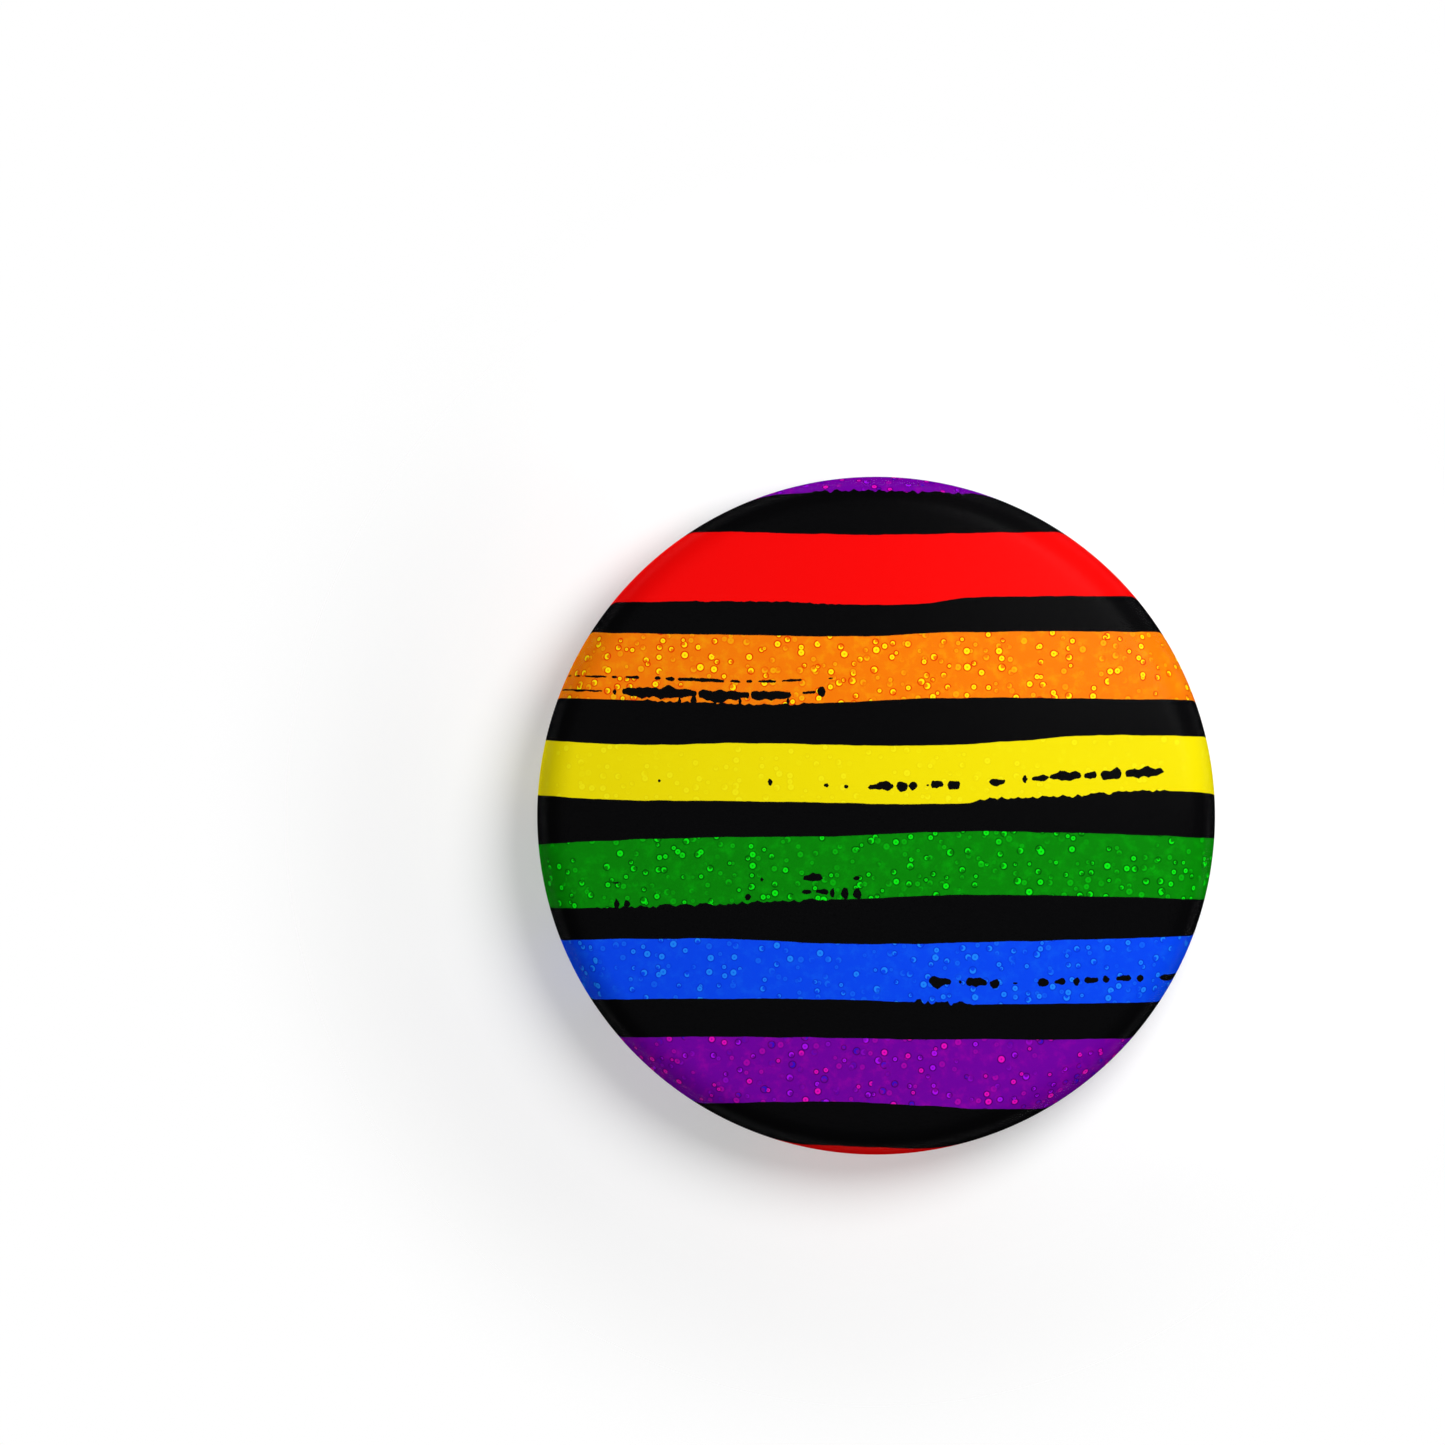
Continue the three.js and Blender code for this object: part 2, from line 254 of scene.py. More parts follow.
def bend(before, corner, after, length, steps=14):
    """Points of a round bend that leaves the straight runs this far from their corner."""
    towards = (corner - before).normalized()
    away = (after - corner).normalized()
    angle = towards.angle(away)
    axis = towards.cross(away).normalized()
    entry = corner - towards * length
    to_centre = axis.cross(towards) * (length / math.tan(angle / 2))
    points = []
    for i in range(steps + 1):
        share = angle * i / steps
        out = -to_centre
        turned_out = out * math.cos(share) + axis.cross(out) * math.sin(share)
        points.append(entry + to_centre + turned_out)
    return points


def rounded_path(corners):
    """Straight runs joined by bends. Each corner is x, y, z and a bend length, which the ends don't have."""
    spots = [Vector(corner[:3]) for corner in corners]
    points = [spots[0]]
    for i in range(1, len(spots) - 1):
        points += bend(spots[i - 1], spots[i], spots[i + 1], corners[i][3])
    return [*points, spots[-1]]


def fill_in(points, step):
    """The same path with no step longer than step."""
    dense = [points[0]]
    for a, b in zip(points, points[1:]):
        count = max(1, math.ceil((b - a).length / step))
        dense += [a.lerp(b, k / count) for k in range(1, count + 1)]
    return dense


def smoothstep(low, high, value):
    t = min(1.0, max(0.0, (value - low) / (high - low)))
    return t * t * (3 - 2 * t)


# ---- Face: film, print and shell ----


def face_surface(depth):
    """The surface that lies depth below the badge's outer surface, from the axis to the end of the hem."""
    side_bottom_y = CURL_BACK_Y - CURL_RADIUS
    shoulder_r = BADGE_RADIUS - SHOULDER_RADIUS
    shoulder_y = side_bottom_y - SIDE_WALL
    curl_r = BADGE_RADIUS - CURL_RADIUS
    edge_degrees = math.degrees(math.asin(shoulder_r / (DOME_RADIUS - SHOULDER_RADIUS)))
    dome_y = shoulder_y + (DOME_RADIUS - SHOULDER_RADIUS) * math.cos(math.radians(edge_degrees))
    return [
        *arc(0, dome_y, DOME_RADIUS - depth, 0, edge_degrees, DOME_STEPS),
        *arc(shoulder_r, shoulder_y, SHOULDER_RADIUS - depth, edge_degrees, 90, SHOULDER_STEPS)[1:],
        *arc(curl_r, side_bottom_y, CURL_RADIUS - depth, 90, 180, CURL_STEPS),
        *arc(curl_r, CURL_BACK_Y - HEM_RADIUS, HEM_RADIUS - depth, 180, 270, HEM_STEPS)[1:],
        (curl_r - HEM_RADIUS + depth, HEM_END_Y),
    ]


def face_sheet(name, node, depth, thickness):
    outline = face_surface(depth) + face_surface(depth + thickness)[::-1]
    vertices, faces = turn(outline, closed=True)
    sheet = make_object(name, vertices, faces)
    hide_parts(node)
    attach(sheet, "badge")
    return sheet


# ---- Back plate ----

MIDDLE_RADIUS = 18.4  # inside this the plate is meshed round its recesses
WALL_OUTER = 1.012  # the recess wall runs between these shares of the oval
WALL_INNER = 0.93
LEAST_DEPTH = 0.04  # a recess floor is at least this far below the plate round it
STEP_INNER = 12.44  # the plateau's edge drops between these radii
STEP_OUTER = 12.7
LIP_RADIUS = 12.4  # a faint raised lip runs along the plateau's edge
LIP_WIDTH = 0.3
LIP_HEIGHT = 0.05
SLOT_WALL = 0.985  # share of the oval where a slot's inner end lies

# Its mesh: rings of points, denser over the plateau's edge, and grids where no ring is
OVAL_POINTS = 180
EDGE_RINGS = [11.8 + 0.06 * k for k in range(21)]
SLOPE_RINGS = [13.2 + 0.4 * k for k in range(13)]
PLATEAU_GRID_RADIUS = 11.5
PLATEAU_PITCH = 0.5
FLOOR_PITCH = 0.4
WALL_STEPS = 8
SLOT_END_STEPS = 16
SLOT_SIDE_STEPS = 30
ROW_SPACING = 0.866  # rows of a staggered grid, as a share of its pitch
NEAR_WALL = (0.91, 1.03)  # shares of the oval of the mesh loops just inside and outside the wall
CLEAR_OF_WALL = (0.9, 1.05)  # rings and grids stay inside and outside these shares
SAME_POINT = 1e-5
WELD_GAP = 0.002
RIM_STEPS = 5

# Profile of the rim: radii on the sloping ring, then (radius, y) points over the bead's crest to the flange
SLOPE_RADII = (MIDDLE_RADIUS, 19.0, 19.5)
RIM_BEAD = [
    (19.7, -0.07),
    (19.85, -0.035),
    (20.0, -0.008),
    (20.12, 0.0),
    (20.26, -0.012),
    (20.4, -0.07),
    (20.46, -0.15),
    (20.53, -0.175),
    (20.64, -0.2),
    (WALL_RADIUS, -0.3),
    (WALL_RADIUS, -0.8),
    (WALL_RADIUS, FLANGE_Y + 0.25),
    (WALL_RADIUS + 0.2, FLANGE_Y + 0.02),
    (FLANGE_RADIUS, FLANGE_Y),
]


def oval_share(x, z):
    """Where a point lies on its side's recess: 0 at the centre, 1 on the oval outline."""
    across = (abs(x) - RECESS_X) / RECESS_HALF_LENGTH
    up = (z - RECESS_Z) / RECESS_HALF_WIDTH
    return math.hypot(across, up)


def line_y(low, high, position):
    """Height at position on the straight line through two (position, y) points."""
    return low[1] + (high[1] - low[1]) * (position - low[0]) / (high[0] - low[0])


def pressed_y(r):
    """Height of the sloping ring and the raised middle, without the recesses."""
    slope = line_y(DISH_FOOT, DISH_EDGE, r)
    dome = PLATEAU_TOP_Y + (PLATEAU_EDGE_Y - PLATEAU_TOP_Y) * (r / PLATEAU_RADIUS) ** 2
    raised = 1 - smoothstep(STEP_INNER, STEP_OUTER, r)
    lip = LIP_HEIGHT * math.exp(-(((r - LIP_RADIUS) / LIP_WIDTH) ** 2))
    return slope + (dome - slope) * raised + lip


def middle_y(x, z):
    """Height of the plate's rear surface inside the rim."""
    around = pressed_y(math.hypot(x, z))
    floor = line_y(RECESS_INNER, RECESS_OUTER, abs(x))
    sunk = 1 - smoothstep(WALL_INNER, WALL_OUTER, oval_share(x, z))
    return around + (min(floor, around - LEAST_DEPTH) - around) * sunk


def circle_points(radius, count):
    step = 2 * math.pi / count
    return [Vector((radius * math.sin(step * k), radius * math.cos(step * k))) for k in range(count)]


def oval_points(side, share, count):
    step = 2 * math.pi / count
    return [
        Vector((
            side * (RECESS_X + RECESS_HALF_LENGTH * share * math.cos(step * k)),
            RECESS_Z + RECESS_HALF_WIDTH * share * math.sin(step * k),
        ))
        for k in range(count)
    ]


def grid_points(reach, pitch):
    """A staggered grid of points around the origin."""
    rows = int(reach / pitch)
    points = []
    for row in range(-rows, rows + 1):
        shift = pitch / 2 if row % 2 else 0
        y = row * pitch * ROW_SPACING
        points += [Vector((column * pitch + shift, y)) for column in range(-rows, rows + 1)]
    return points


def slot_outline(side):
    """A slot's outline in the recess floor. Its inner end follows the recess wall."""
    far_x, low_z, high_z = SLOTS[side]

    def wall_x(z):
        up = (z - RECESS_Z) / RECESS_HALF_WIDTH
        return RECESS_X - RECESS_HALF_LENGTH * math.sqrt(SLOT_WALL**2 - up**2)

    heights = [low_z + (high_z - low_z) * k / SLOT_END_STEPS for k in range(SLOT_END_STEPS + 1)]
    inner = [Vector((wall_x(z), z)) for z in heights]
    outer = [Vector((far_x, z)) for z in heights[::-1]]
    shares = [k / SLOT_SIDE_STEPS for k in range(1, SLOT_SIDE_STEPS)]
    top = [inner[-1].lerp(outer[0], share) for share in shares]
    bottom = [outer[-1].lerp(inner[0], share) for share in shares]
    return [Vector((side * p.x, p.y)) for p in [*inner, *top, *outer, *bottom]]


def in_slot(x, z):
    far_x, low_z, high_z = SLOTS[1 if x > 0 else -1]
    return low_z < z < high_z and abs(x) < far_x and oval_share(x, z) < SLOT_WALL


def plate_middle():
    """Triangles of the plate inside the rim, dense along the creases, the recess walls and the slots."""
    points = []
    edges = []

    def add_loop(loop):
        first = len(points)
        points.extend(loop)
        edges.extend((first + k, first + (k + 1) % len(loop)) for k in range(len(loop)))

    inside, outside = CLEAR_OF_WALL
    add_loop(circle_points(MIDDLE_RADIUS, AROUND))
    for radius in EDGE_RINGS + SLOPE_RINGS:
        points.extend(p for p in circle_points(radius, AROUND) if oval_share(*p) > outside)
    plateau = (p for p in grid_points(PLATEAU_RADIUS, PLATEAU_PITCH) if p.length < PLATEAU_GRID_RADIUS)
    points.extend(p for p in plateau if oval_share(*p) > outside)
    wall_shares = [WALL_INNER + (WALL_OUTER - WALL_INNER) * k / WALL_STEPS for k in range(WALL_STEPS + 1)]
    for side in (1, -1):
        for share in [NEAR_WALL[0], *wall_shares, NEAR_WALL[1]]:
            add_loop(oval_points(side, share, OVAL_POINTS))
        centre = Vector((side * RECESS_X, RECESS_Z))
        floor = (p + centre for p in grid_points(RECESS_HALF_LENGTH, FLOOR_PITCH))
        points.extend(p for p in floor if oval_share(*p) < inside)
        add_loop(slot_outline(side))
    flat, _, triangles, *_ = delaunay_2d_cdt(points, edges, [], 0, SAME_POINT)
    vertices = [(p.x, middle_y(p.x, p.y), p.y) for p in flat]
    faces = []
    for triangle in triangles:
        x, z = sum((flat[i] for i in triangle), Vector((0, 0))) / 3
        if not in_slot(x, z):
            faces.append(list(triangle)[::-1])
    return vertices, faces


def plate_rim():
    """The sloping ring's outer edge, the rim bead, the outer wall and the hidden flange, turned."""
    slope = [(radius, pressed_y(radius)) for radius in SLOPE_RADII]
    return turn(smooth_line(slope + RIM_BEAD, RIM_STEPS), closed=False)


def back_plate():
    vertices, faces = plate_middle()
    rim_vertices, rim_faces = plate_rim()
    start = len(vertices)
    faces += [[start + i for i in face][::-1] for face in rim_faces]
    plate = make_object("back_plate_pressed", vertices + rim_vertices, faces, sharp_degrees=60)
    weld = plate.modifiers.new("Weld", "WELD")
    weld.merge_threshold = WELD_GAP * MM
    thickness = plate.modifiers.new("Thickness", "SOLIDIFY")
    thickness.thickness = TIN * MM
    thickness.offset = -1
    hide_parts("back_plate")
    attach(plate, "badge")
    return plate


# ---- Spring wire ----


COIL_STEPS = 90
ARM_START = 78  # the coil's points from here on belong to the arm's piece, so the two pieces meet inside the coil
SEAM_OVERLAP = 2
COIL_LEAD_IN = 0.2  # the straight base run ends this far before the coil's first point
ARM_STEPS = 120
PATH_STEP = 0.4
FINE_STEP = 0.06  # along the arm, which bends
ARM_THINNING = 0.998  # the arm is a hair thinner than the coil, so that its overlap stays hidden
TIP_SHARE = 0.12  # radius at the very point, as a share of the wire's
TAPER_POWER = 0.7  # below 1 the taper is full, as a ground point's is


def coil_points():
    """From the end of the base run, round the coil, to just short of the pivot."""
    centre_x = PIVOT.x - COIL_END_GAP
    centre_y = PIVOT.y - COIL_RADIUS
    points = []
    for i in range(COIL_STEPS + 1):
        share = i / COIL_STEPS
        angle = 2 * math.pi * COIL_TURNS * share
        points.append(Vector((
            centre_x - COIL_RADIUS * math.sin(angle),
            centre_y - COIL_RADIUS * math.cos(angle),
            BASE_Z + (PIVOT.z - BASE_Z) * smoothstep(0, 1, share),
        )))
    return points


def catch_and_coil():
    """The catch from its cut end, the run hidden under the raised middle, and most of the coil."""
    coil = coil_points()
    path = rounded_path([
        FREE_END,
        (CATCH_INNER_X, CATCH_TOP_Y, CATCH_TOP_Z, LEG_BEND),
        (CATCH_INNER_X, CATCH_BOTTOM_Y, CATCH_BOTTOM_Z, CATCH_CORNER),
        (CATCH_OUTER_X, CATCH_BOTTOM_Y, CATCH_BOTTOM_Z, CATCH_CORNER),
        (CATCH_OUTER_X, CATCH_TOP_Y, CATCH_TOP_Z, LEG_BEND),
        (*CLIMB_END, CLIMB_END_BEND),
        (*CLIMB_START, CLIMB_START_BEND),
        (BASE_RISE_X, BASE_Y, BASE_Z, BASE_RISE_BEND),
        (coil[0].x + COIL_LEAD_IN, BASE_Y, BASE_Z),
    ])
    path = fill_in(path + coil[: ARM_START + SEAM_OVERLAP], PATH_STEP)
    radii = []
    leaving_catch = False
    for point in path:
        leaving_catch = leaving_catch or (point.z > 0 and point.x > CLIMB_END.x)
        swell = smoothstep(CLIMB_START.x, CLIMB_END.x, point.x) if leaving_catch else 1.0
        radii.append(WIRE_RADIUS + (CATCH_WIRE_RADIUS - WIRE_RADIUS) * swell)
    wire = tube("catch_and_coil_wire", path, radii, round_end=False)
    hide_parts("catch_wire")
    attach(wire, "badge")
    return wire


def pin_arm():
    """From inside the coil, through the pivot, to the point. It curves out of the coil up to the pivot and
    runs straight from there.
    """
    tip = Vector((TIP_X, PIVOT.y, PIVOT.z))
    straight = [PIVOT.lerp(tip, k / ARM_STEPS) for k in range(1, ARM_STEPS + 1)]
    path = fill_in(coil_points()[ARM_START:] + straight, FINE_STEP)
    radii = []
    for point in path:
        to_tip = min(1.0, max(0.0, TIP_X - point.x) / POINT_LENGTH)
        taper = TIP_SHARE + (1 - TIP_SHARE) * to_tip**TAPER_POWER
        radii.append(WIRE_RADIUS * taper * ARM_THINNING)
    arm = tube("pin_arm_wire", path, radii, round_start=False)
    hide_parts("pin_arm")
    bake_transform(arm)
    return arm


# ---- Materials ----


WHITE = (1.0, 1.0, 1.0, 1.0)


class Nodes:
    """Short calls that add nodes to a material or a world and link them."""

    def __init__(self, owner):
        owner.use_nodes = True
        self.tree = owner.node_tree
        self.tree.nodes.clear()

    def add(self, kind, inputs=None, **settings):
        node = self.tree.nodes.new(kind)
        for name, value in settings.items():
            setattr(node, name, value)
        for name, value in (inputs or {}).items():
            self.put(node.inputs[name], value)
        return node

    def put(self, socket, value):
        if isinstance(value, bpy.types.NodeSocket):
            self.tree.links.new(value, socket)
        elif value is not None:
            socket.default_value = value

    def math(self, operation, a, b=None, c=None, clamp=False):
        node = self.add("ShaderNodeMath", operation=operation, use_clamp=clamp)
        for socket, value in zip(node.inputs, (a, b, c)):
            self.put(socket, value)
        return node.outputs[0]

    def plus(self, a, b):
        return self.math("ADD", a, b)

    def minus(self, a, b):
        return self.math("SUBTRACT", a, b)

    def times(self, a, b):
        return self.math("MULTIPLY", a, b)

    def step(self, value, low, high, to_low=0.0, to_high=1.0):
        """0 to 1 (or to_low to to_high) as value goes from low to high, smoothly."""
        node = self.add("ShaderNodeMapRange", {
            "Value": value, "From Min": low, "From Max": high, "To Min": to_low, "To Max": to_high,
        }, interpolation_type="SMOOTHSTEP")
        return node.outputs[0]

    def blend(self, share, a, b):
        """Colour a where share is 0, colour b where it is 1."""
        node = self.add("ShaderNodeMix", data_type="RGBA")
        self.put(node.inputs["Factor"], share)
        # The node's colour sockets come after those for plain numbers and vectors
        self.put(node.inputs[6], a)
        self.put(node.inputs[7], b)
        return node.outputs[2]

    def mix_shaders(self, share, a, b):
        """Shader a where share is 0, shader b where it is 1."""
        node = self.add("ShaderNodeMixShader", {"Fac": share})
        self.put(node.inputs[1], a)
        self.put(node.inputs[2], b)
        return node.outputs[0]

    def share(self, value, low, high):
        """Where value lies between low and high, from 0 to 1."""
        width = high - low
        return self.math("MULTIPLY_ADD", value, 1 / width, -low / width, clamp=True)

    def curve(self, value, points, handle="AUTO"):
        """A curve through (input, output) points, all from 0 to 1: smooth, or straight with handle VECTOR."""
        node = self.add("ShaderNodeFloatCurve", {"Value": value})
        mapped = node.mapping.curves[0]
        for x, y in points[1:-1]:
            mapped.points.new(x, y)
        mapped.points[0].location = points[0]
        mapped.points[-1].location = points[-1]
        for point in mapped.points:
            point.handle_type = handle
        node.mapping.update()
        return node.outputs[0]

    def clear(self):
        return self.add("ShaderNodeBsdfTransparent", {"Color": WHITE}).outputs[0]

    def backfacing(self):
        return self.add("ShaderNodeNewGeometry").outputs["Backfacing"]

    def output(self, shader):
        self.add("ShaderNodeOutputMaterial", {"Surface": shader})

    def position(self):
        """Object coordinates in millimetres, as (vector, x, y, z)."""
        place = self.add("ShaderNodeTexCoord").outputs["Object"]
        scaled = self.add("ShaderNodeVectorMath", operation="SCALE")
        self.put(scaled.inputs[0], place)
        self.put(scaled.inputs["Scale"], 1 / MM)
        parts = self.add("ShaderNodeSeparateXYZ", {"Vector": scaled.outputs[0]})
        return scaled.outputs[0], parts.outputs[0], parts.outputs[1], parts.outputs[2]

    def distance(self, x, z):
        """How far a point is from the badge's axis."""
        return self.math("SQRT", self.plus(self.times(x, x), self.times(z, z)))

    def vector(self, x, y, z=0.0):
        return self.add("ShaderNodeCombineXYZ", {"X": x, "Y": y, "Z": z}).outputs[0]

    def cells(self, vector, scale):
        """Random cells in the plane, scale of them to a millimetre."""
        return self.add("ShaderNodeTexVoronoi", {"Vector": vector, "Scale": scale}, voronoi_dimensions="2D")

    def noise(self, vector, scale, detail=2.0, roughness=0.5):
        return self.add("ShaderNodeTexNoise", {
            "Vector": vector, "Scale": scale, "Detail": detail, "Roughness": roughness,
        }).outputs["Fac"]

    def bump(self, height, strength, distance_mm):
        return self.add("ShaderNodeBump", {
            "Height": height, "Strength": strength, "Distance": distance_mm * MM,
        }).outputs[0]


def srgb(red, green, blue):
    """A colour as a screen shows it, 0 to 255, in Blender's linear values."""
    def linear(value):
        value /= 255
        return value / 12.92 if value <= 0.04045 else ((value + 0.055) / 1.055) ** 2.4
    return (linear(red), linear(green), linear(blue), 1.0)


# How much longer the print's sheet is than its radius, as it goes round the edge to the back:
# (share of the way through WRAP_RANGE, from y to y; share of WRAP_EXTRA) points
WRAP_RANGE = (-3.93, -0.35)
WRAP_EXTRA = 3.58
WRAP_LENGTH = [(0, 0), (0.72, 0.41), (0.8, 0.5), (1, 1)]
BACK_RANGE = (-0.8, -0.6)  # marks of the back fade in between these values of y
DRAW_IN_RANGE = (-2.4, -0.4)  # the sheet is drawn in, by DRAW_IN in the end, between these values of y
DRAW_IN = 1.04

# The print, in millimetres on the badge's face: x to the right, z up.
# Each stripe has an upper and a lower edge, as points where the brush line turns.
PRINT_BLACK = srgb(7, 7, 8)
OFF_SHEET = 30.0
STRIPES = [
    ("purple",
     [(-22, OFF_SHEET), (22, OFF_SHEET)],
     [(-22, 20.7), (-8, 20.7), (-1, 20.95), (5, 20.8), (22, 20.8)]),
    ("red",
     [(-22, 18.4), (-8, 18.3), (0, 18.15), (8, 18.3), (22, 18.4)],
     [(-22, 13.7), (-8, 13.8), (1, 13.6), (7, 14.1), (15, 14.15), (22, 13.95)]),
    ("orange",
     [(-22, 11.95), (-10, 11.7), (-1, 11.6), (5, 11.85), (22, 11.85)],
     [(-22, 7.65), (-14, 7.4), (-7, 7.15), (-2.5, 7.3), (5, 7.6), (10, 7.6), (22, 7.4)]),
    ("yellow",
     [(-22, 5.0), (-14, 4.6), (-10, 4.7), (3, 4.55), (9, 4.85), (15, 5.2), (22, 5.1)],
     [(-22, 1.35), (-16, 1.0), (-10, 0.95), (5.8, 0.8), (6.6, 1.0), (14, 1.3), (18, 1.6), (22, 1.35)]),
    ("green",
     [(-22, -1.85), (-12, -1.4), (-3, -1.3), (6, -1.0), (11, -1.05), (22, -1.45)],
     [(-22, -6.0), (-14, -5.85), (-6, -5.55), (0, -5.3), (6, -5.1), (14, -5.2), (22, -5.45)]),
    ("blue",
     [(-22, -8.1), (-11, -7.9), (-1, -8.25), (6, -8.15), (22, -7.7)],
     [(-22, -11.95), (-8, -11.8), (2, -12.0), (5, -12.15), (10, -12.15), (22, -11.9)]),
    ("purple",
     [(-22, -14.5), (-10, -14.25), (4, -14.4), (22, -14.35)],
     [(-22, -18.7), (-12, -18.6), (-4, -18.45), (3, -18.7), (8, -18.95), (22, -18.6)]),
    ("red",
     [(-22, -21.0), (-6, -21.2), (4, -21.5), (22, -21.7)],
     [(-22, -OFF_SHEET), (22, -OFF_SHEET)]),
]

EDGE_SOFTNESS = 0.035  # an edge of ink fades over this width
EDGE_DRIFT = 0.18  # stripes wander up and down by half of this
MARK_JITTER = 0.18  # and dry-brush marks by half of this

# Where the brush tore each stripe's lower edge: how deep in millimetres, from x, to x
TORN_EDGES = [
    (0.3, -4, 6),
    (0.1, -12, -2),
    (0.2, -15, -4),
    (0.28, 6.6, 18.5),
    (0.26, -18, -3),
    (0.42, 2.4, 6),
    (0, 0, 1),
    (0, 0, 1),
]

# Dry-brush gaps where the black shows: a centre line of (x, z) points, then gaps as
# (from x, to x, reach above the line, reach below it, share of the length where it is thickest)
ABOVE, BELOW = 2, 3  # which number of a gap is its reach
GAP_MARGIN = 0.3
BLUNT_END = 0.02
GAP_SOFTNESS = (-0.01, 0.02)
LEAST_REACH = 0.02
GAP_THRESHOLD = 0.035  # reaches under this are no gap
DRY_BRUSH = [
    ([(-22, 9.1), (-12, 8.8), (-8, 8.65), (-2, 8.95)],
     [(-20.0, -19.7, 0.05, 0.05, 0.5), (-19.4, -19.1, 0.05, 0.05, 0.5), (-18.8, -17.4, 0.05, 0.05, 0.6),
      (-17.1, -16.7, 0.05, 0.05, 0.5), (-16.2, -15.3, 0.1, 0.05, 0.8), (-14.3, -13.9, 0.1, 0.1, 0.4),
      (-13.6, -13.0, 0.1, 0.1, 0.5), (-12.8, -9.8, 0.1, 0.1, 0.3), (-9.4, -8.8, 0.1, 0.05, 0.5),
      (-8.4, -8.0, 0.1, 0.05, 0.5), (-7.6, -6.5, 0.1, 0.05, 0.5), (-6.1, -4.8, 0.1, 0.05, 0.8),
      (-3.1, -2.8, 0.05, 0.05, 0.5)]),
    ([(-22, 8.2), (-16, 8.0), (-9, 7.85), (-6, 7.75), (-4.2, 8.0), (-3, 8.0)],
     [(-20.4, -17.7, 0.05, 0.05, 0.4), (-17.0, -16.8, 0.1, 0.15, 0.8), (-16.4, -11.6, 0.3, 0.3, 0.4),
      (-11.5, -8.2, 0.2, 0.4, 0.3), (-8.1, -5.5, 0.25, 0.25, 0.3), (-4.8, -3.9, 0.05, 0.1, 0.8),
      (-3.8, -3.3, 0.25, 0.25, 0.5)]),
    ([(-22, 7.4), (22, 7.4)],
     [(-12.8, -12.6, 0.2, 0.25, 0.5), (-12.0, -11.6, 0.3, 0.3, 0.6), (-10.5, -10.3, 0.2, 0.25, 0.3),
      (-8.9, -8.7, 0.2, 0.25, 0.5), (-5.8, -5.6, 0.25, 0.25, 0.5)]),
    ([(-15, 2.25), (-7, 2.2), (-2, 1.9), (0, 1.85)],
     [(-14.1, -13.9, 0.1, 0.1, 0.3), (-7.0, -6.7, 0.15, 0.15, 0.4), (-3.4, -3.1, 0.15, 0.1, 0.8),
      (-2.1, -1.8, 0.1, 0.1, 0.4)]),
    ([(-1, 1.8), (0, 1.85), (5, 2.05), (10, 2.4), (18, 2.85), (19, 2.9)],
     [(-0.5, 1.1, 0.3, 0.2, 0.9), (1.3, 2.0, 0.3, 0.3, 0.7), (2.1, 2.6, 0.25, 0.25, 0.5),
      (3.2, 3.4, 0.05, 0.05, 0.5), (3.5, 4.3, 0.25, 0.2, 0.3), (4.6, 5.4, 0.2, 0.3, 0.3),
      (7.3, 8.3, 0.15, 0.25, 0.2), (9.4, 9.7, 0.15, 0.25, 0.6), (10.0, 11.1, 0.15, 0.15, 0.5),
      (11.2, 13.2, 0.3, 0.2, 0.5), (13.4, 14.2, 0.2, 0.25, 0.7), (14.5, 15.8, 0.3, 0.35, 0.8),
      (16.1, 18.5, 0.25, 0.3, 0.4)]),
    ([(-22, -4.35), (-14, -4.3), (-7, -4.1), (22, -3.9)],
     [(-17.0, -16.6, 0.05, 0.05, 0.5), (-7.5, -7.3, 0.1, 0.1, 0.5), (-4.7, -3.5, 0.3, 0.1, 0.7),
      (-1.5, -1.1, 0.1, 0.1, 0.5)]),
    ([(-22, -5.7), (-14, -5.65), (-8, -5.2), (-4.2, -4.9), (-2, -5.05), (22, -5.05)],
     [(-16.9, -16.6, 0.35, 0.3, 0.2), (-16.3, -15.9, 0.2, 0.3, 0.4), (-8.5, -8.1, 0.15, 0.15, 0.5),
      (-4.8, -4.2, 0.15, 0.1, 0.4), (-3.9, -3.1, 0.2, 0.1, 0.7), (-3.0, -2.7, 0.3, 0.3, 0.6),
      (-2.3, -1.8, 0.3, 0.25, 0.7), (-1.5, -1.0, 0.3, 0.3, 0.5)]),
    ([(-22, -10.6), (3.4, -10.65), (9, -10.8), (12, -10.7), (16, -10.5), (22, -10.4)],
     [(3.4, 4.8, 0.25, 0.3, 0.2), (5.3, 5.5, 0.1, 0.1, 0.5), (5.8, 7.1, 0.25, 0.25, 0.3),
      (7.3, 7.9, 0.2, 0.25, 0.6), (8.8, 9.1, 0.05, 0.05, 0.5), (10.4, 11.1, 0.2, 0.25, 0.3),
      (11.5, 12.2, 0.2, 0.15, 0.7), (12.7, 13.1, 0.2, 0.25, 0.6), (13.4, 14.3, 0.2, 0.15, 0.4),
      (14.6, 15.0, 0.15, 0.2, 0.4), (15.5, 16.4, 0.2, 0.15, 0.7), (16.8, 17.2, 0.15, 0.2, 0.4),
      (18.3, 19.8, 0.2, 0.15, 0.5)]),
]

# The same, on the back of the badge only
BACK_DRY_BRUSH = [
    ([(-22, 22.2), (22, 22.2)],
     [(-1.5, -1.2, 0.2, 0.15, 0.5), (-0.1, 0.3, 0.25, 0.15, 0.4), (0.6, 0.9, 0.25, 0.2, 0.6),
      (1.4, 1.8, 0.2, 0.15, 0.5), (2.1, 2.4, 0.25, 0.2, 0.4), (3.2, 3.5, 0.2, 0.15, 0.5)]),
]

